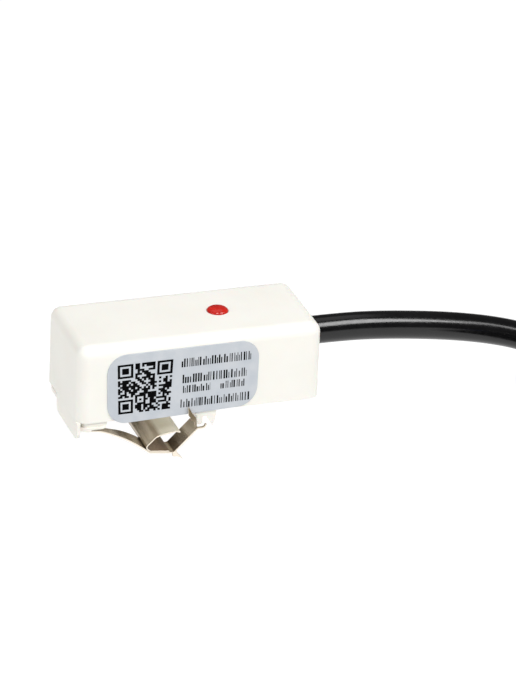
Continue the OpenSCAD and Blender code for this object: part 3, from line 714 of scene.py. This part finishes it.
def brighten_edges(material, axis):
    """Faces that look along the axis, where the strip was cut, are brighter and less metallic: bare
    cut metal, with a painted highlight where the thin edges catch the light.
    """
    shader = material.node_tree.nodes["Principled BSDF"]
    base = shader.inputs["Base Color"]
    facing = add(material, "ShaderNodeTexCoord").outputs["Normal"]
    part = add(material, "ShaderNodeSeparateXYZ", {0: facing}).outputs[axis]
    size = add(material, "ShaderNodeMath", {0: part}, operation="ABSOLUTE").outputs[0]
    edge = rescale(material, size, CUT_EDGE_HIGHLIGHT_FACING)
    tint = blend(material, edge, base.links[0].from_socket, linear(CUT_EDGE_HIGHLIGHT))
    metal = rescale(material, edge, (0, 1), (STEEL_METAL, CUT_EDGE_HIGHLIGHT_METAL))
    material.node_tree.links.new(tint, base)
    material.node_tree.links.new(metal, shader.inputs["Metallic"])


# Painted reflection: the right part of the leaf's arch is tinted bright. Painted shade: its folded
# flap under the arch is tinted dark brown.
tint_towards(leaf_steel, PAINTED_REFLECTION, (1, 0, 1), PAINTED_REFLECTION_SPAN)
# Painted shade: the flap under the arch darkens towards the bottom
tint_towards(leaf_steel, PAINTED_SHADE, (0, 0, -1), PAINTED_SHADE_SPAN)
for steel, axis in ((spring_steel, 1), (leaf_steel, 1), (shaded_lug_steel, 0)):
    brighten_edges(steel, axis)

# Lacquered board laminate: green solder mask, cloudy where the glass cloth shows through
solder_mask = finish_of(
    "green_solder_mask", ("#2f7049", "#24583a"), rough=(0.22, 0.36), patch_mm=2.2, grain_mm=0.35,
    depth_mm=0.002, Coat_Weight=0.4, Coat_Roughness=0.15)
# Rolled copper foil: warm and lightly brushed along the housing
copper = finish_of(
    "rolled_copper_foil", ("#cf9160", "#b9764a"), rough=(0.24, 0.4), patch_mm=2.0, grain_mm=0.12,
    depth_mm=0.001, stretch=(12, 1, 1), Metallic=1.0)
# Moulded epoxy of the chips: matt charcoal with fine filler grains
chip_epoxy = finish_of(
    "moulded_epoxy_body", ("#1b1b1e", "#29292d"), rough=(0.5, 0.68), patch_mm=1.1, grain_mm=0.07,
    depth_mm=0.0015)
# Fired ceramic of the capacitors: dull tan
ceramic = finish_of(
    "fired_ceramic", ("#b79c79", "#a38663"), rough=(0.4, 0.6), patch_mm=0.9, grain_mm=0.09,
    depth_mm=0.0012)
# Solder: bright and slightly rippled where it set
solder = finish_of(
    "tin_solder", ("#cfcfca", "#b2b2ae"), rough=(0.14, 0.3), patch_mm=0.7, grain_mm=0.25,
    depth_mm=0.004, Metallic=1.0)
# Tinned copper wire: bright, with faint strand lines along its length
tinned = finish_of(
    "tinned_copper_wire", ("#d6d4cd", "#bab8b0"), rough=(0.18, 0.34), patch_mm=1.2, grain_mm=0.12,
    depth_mm=0.0015, Metallic=1.0)
# Cast epoxy plug round the cable: dark, glossy and slightly uneven
plug_epoxy = finish_of(
    "cast_epoxy_resin", ("#38352f", "#2a2824"), rough=(0.12, 0.26), patch_mm=3.0, grain_mm=0.8,
    depth_mm=0.006, Coat_Weight=0.3, Coat_Roughness=0.08)
# Nylon cable tie: black, a little duller than the cable
nylon = finish_of(
    "moulded_nylon_tie", ("#1c1c1e", "#2a2a2c"), rough=(0.42, 0.56), patch_mm=2.0, grain_mm=0.3,
    depth_mm=0.003)
# Extruded PVC round each core: satin, in the four usual colours
insulation = {
    colour: finish_of(
        colour + "_pvc_insulation", tints, rough=(0.32, 0.46), patch_mm=1.8, grain_mm=0.22,
        depth_mm=0.0015, IOR=1.53)
    for colour, tints in {
        "brown": ("#704426", "#623a1f"), "yellow": ("#e4c433", "#d6b426"),
        "blue": ("#2c5cbd", "#244ea6"), "black": ("#1a1a1b", "#242426"),
    }.items()
}

NODE_FINISHES = {
    "housing_shell": abs_white, "base_cover": abs_base, "led_leads": tinned,
    "circuit_board": solder_mask, "sensing_electrode": copper, "contact_spring": copper,
    "controller_chip": chip_epoxy, "voltage_regulator": chip_epoxy,
    "output_transistor": chip_epoxy, "protection_diode": chip_epoxy, "capacitors": ceramic,
    "resistors": chip_epoxy, "solder_joints": solder, "cable_seal": plug_epoxy,
    "coil_tie": nylon, "lead_tips": tinned,
    **{"core_" + colour: finish for colour, finish in insulation.items()},
}
for name, finish in NODE_FINISHES.items():
    for s in nodes[name].material_slots:
        s.material = finish


def dress(material, slot, *pieces):
    """Gives each piece its material; the slot is not used."""
    for piece in pieces:
        piece.data.materials.append(material)


for colour, finish in insulation.items():
    dress(finish, colour + "_insulation", wires[colour])
dress(polyester, "label_film", label)
dress(ink, "label_film", label_cells, label_strokes)
dress(red_epoxy, "red_lens", led_lens)
dress(pvc_black, "black_jacket", cable)
dress(spring_steel, "spring_steel", clip, spur)
dress(leaf_steel, "spring_steel", leaf)
dress(shaded_lug_steel, "spring_steel", *lugs)

# Stage
FLOOR_SIZE = 4
FLOOR_GLOW = 0.97
WORLD_GLOW = 0.1
LAMPS_AIM = (7, 0, 4)
# Each softbox's place in mm from the part, its size in mm and its power in watts
LAMPS = {
    "key_left": ((-69, -210, 402), (120, 200), 0.83),
    "key_right": ((193, -210, 360), (170, 200), 1.12),
    "overhead_fill": ((0, 130, 450), (500, 300), 0.3),
    "right_strip": ((345, -160, 258), (60, 200), 0.2),
    "left_fill": ((-420, -90, 180), (260, 260), 0.55),
}


def make_floor():
    """A backlit table of opal acrylic: it glows evenly, so no shadow shows on it."""
    bpy.ops.mesh.primitive_plane_add(size=FLOOR_SIZE)
    floor = bpy.context.object
    floor.name = "floor"
    floor.data.transform(Matrix.Translation((0, 0, FLOOR_Z * MM)))
    opal = finish_of(
        "opal_acrylic", ("#5c5c5c", "#585858"), rough=(0.85, 0.95), patch_mm=60, grain_mm=1.5,
        depth_mm=0.01)
    shader = opal.node_tree.nodes["Principled BSDF"]
    shader.inputs["Emission Color"].default_value = (1, 1, 1, 1)
    shader.inputs["Emission Strength"].default_value = FLOOR_GLOW
    floor.data.materials.append(opal)


def softbox(name, place, size, watts):
    """A large lamp at a place, turned to the housing."""
    lamp = bpy.data.lights.new(name, "AREA")
    lamp.shape = "RECTANGLE"
    lamp.size, lamp.size_y = (s * MM for s in size)
    lamp.energy = watts
    holder = bpy.data.objects.new(name, lamp)
    place, aim = Vector(place) * MM, Vector(LAMPS_AIM) * MM
    turn = (aim - place).to_track_quat("-Z", "Y").to_matrix().to_4x4()
    holder.matrix_world = Matrix.Translation(place) @ turn
    bpy.context.scene.collection.objects.link(holder)


make_floor()
for name, (place, size, watts) in LAMPS.items():
    softbox(name, place, size, watts)
world = bpy.data.worlds.new("studio")
bpy.context.scene.world = world
world.use_nodes = True
sky = world.node_tree.nodes["Background"].inputs
sky["Color"].default_value = linear("#ffffff")
sky["Strength"].default_value = WORLD_GLOW
bpy.context.scene.view_settings.view_transform = "Standard"
